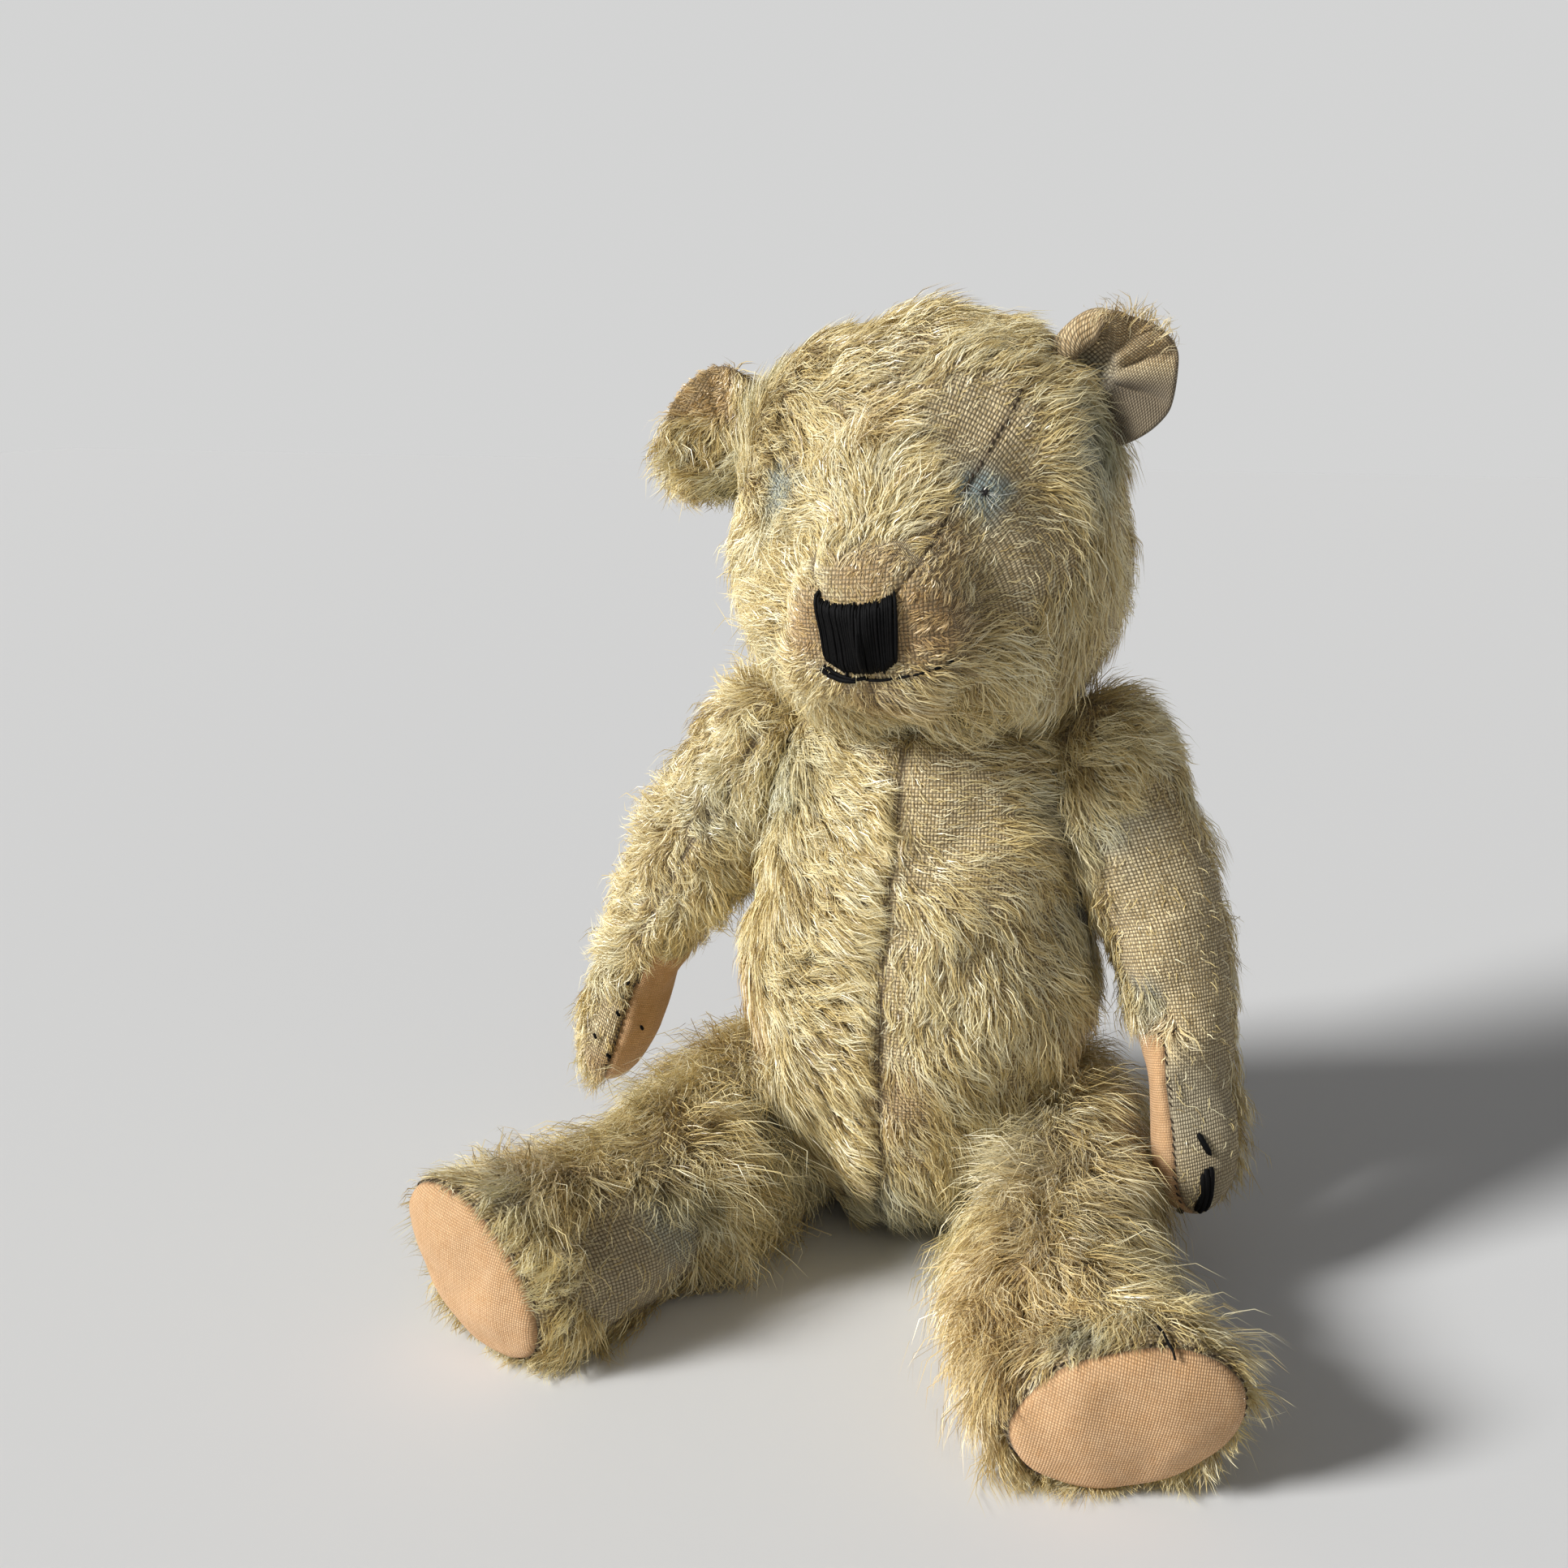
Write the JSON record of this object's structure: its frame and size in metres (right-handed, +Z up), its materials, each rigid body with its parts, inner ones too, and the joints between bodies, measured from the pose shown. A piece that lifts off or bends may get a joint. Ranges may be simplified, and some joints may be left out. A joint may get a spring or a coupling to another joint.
{
  "type": "threadbare teddy bear",
  "caption": "Seated stuffed bear with a worn pile cover, stitched nose and mouth, and a turning head and limbs on discs.",
  "frame": {"origin": "on the flat underside of the seat, where it rests on the table", "axes": "+Z up, -Y the way the bear faces, +X towards the bear's own left arm"},
  "size_m": [0.2509, 0.2109, 0.299],
  "materials": {
    "pile_cloth": "faded straw-gold woven mohair pile, sparse and bald in places",
    "bare_cloth": "bald wrinkled cotton backing, brown",
    "pad_cloth": "plain woven cotton, faded peach",
    "wood_wool": "packed fine wood shavings",
    "black_thread": "black cotton embroidery thread",
    "hardboard": "pressed board, brown, unpainted",
    "steel": "dull steel"
  },
  "bodies": {
    "torso": {"torso_panel_left": "pile_cloth", "torso_panel_right": "pile_cloth", "torso_stuffing": "wood_wool", "neck_torso_disc": "hardboard", "neck_torso_washer": "steel", "shoulder_left_torso_disc": "hardboard", "shoulder_left_torso_washer": "steel", "shoulder_right_torso_disc": "hardboard", "shoulder_right_torso_washer": "steel", "hip_left_torso_disc": "hardboard", "hip_left_torso_washer": "steel", "hip_right_torso_disc": "hardboard", "hip_right_torso_washer": "steel"},
    "head": {"head_gusset": "pile_cloth", "head_side_left": "pile_cloth", "head_side_right": "pile_cloth", "head_stuffing": "wood_wool", "ear_left_front": "bare_cloth", "ear_left_back": "pile_cloth", "ear_right_front": "bare_cloth", "ear_right_back": "pile_cloth", "nose_stitching": "black_thread", "mouth_stitching": "black_thread", "neck_head_disc": "hardboard", "neck_head_washer": "steel", "neck_pin": "steel"},
    "arm_left": {"arm_left_outer_panel": "pile_cloth", "arm_left_inner_panel": "pile_cloth", "arm_left_paw_pad": "pad_cloth", "arm_left_stuffing": "wood_wool", "shoulder_left_arm_disc": "hardboard", "shoulder_left_arm_washer": "steel", "shoulder_left_pin": "steel"},
    "arm_right": {"arm_right_outer_panel": "pile_cloth", "arm_right_inner_panel": "pile_cloth", "arm_right_paw_pad": "pad_cloth", "arm_right_stuffing": "wood_wool", "shoulder_right_arm_disc": "hardboard", "shoulder_right_arm_washer": "steel", "shoulder_right_pin": "steel"},
    "leg_left": {"leg_left_outer_panel": "pile_cloth", "leg_left_inner_panel": "pile_cloth", "leg_left_foot_pad": "pad_cloth", "leg_left_stuffing": "wood_wool", "hip_left_leg_disc": "hardboard", "hip_left_leg_washer": "steel", "hip_left_pin": "steel"},
    "leg_right": {"leg_right_outer_panel": "pile_cloth", "leg_right_inner_panel": "pile_cloth", "leg_right_foot_pad": "pad_cloth", "leg_right_stuffing": "wood_wool", "hip_right_leg_disc": "hardboard", "hip_right_leg_washer": "steel", "hip_right_pin": "steel"}
  },
  "joints": [
    {"name": "neck_turn", "type": "hinge", "parent": "torso", "child": "head", "pos_m": [0, 0.003, 0.1748], "axis": [0, 0, 1], "continuous": true},
    {"name": "shoulder_left_swing", "type": "hinge", "parent": "torso", "child": "arm_left", "pos_m": [0.0464, 0.0015, 0.152], "axis": [-0.9744, 0, -0.225], "range_deg": [-60, 110]},
    {"name": "shoulder_right_swing", "type": "hinge", "parent": "torso", "child": "arm_right", "pos_m": [-0.0464, 0.0015, 0.152], "axis": [-0.9744, 0, 0.225], "range_deg": [-60, 110]},
    {"name": "hip_left_swing", "type": "hinge", "parent": "torso", "child": "leg_left", "pos_m": [0.031, 0.002, 0.031], "axis": [-0.8385, -0.0146, 0.5446], "range_deg": [-45, 3]},
    {"name": "hip_right_swing", "type": "hinge", "parent": "torso", "child": "leg_right", "pos_m": [-0.031, 0.002, 0.031], "axis": [-0.8385, 0.0146, -0.5446], "range_deg": [-45, 35]}
  ]
}
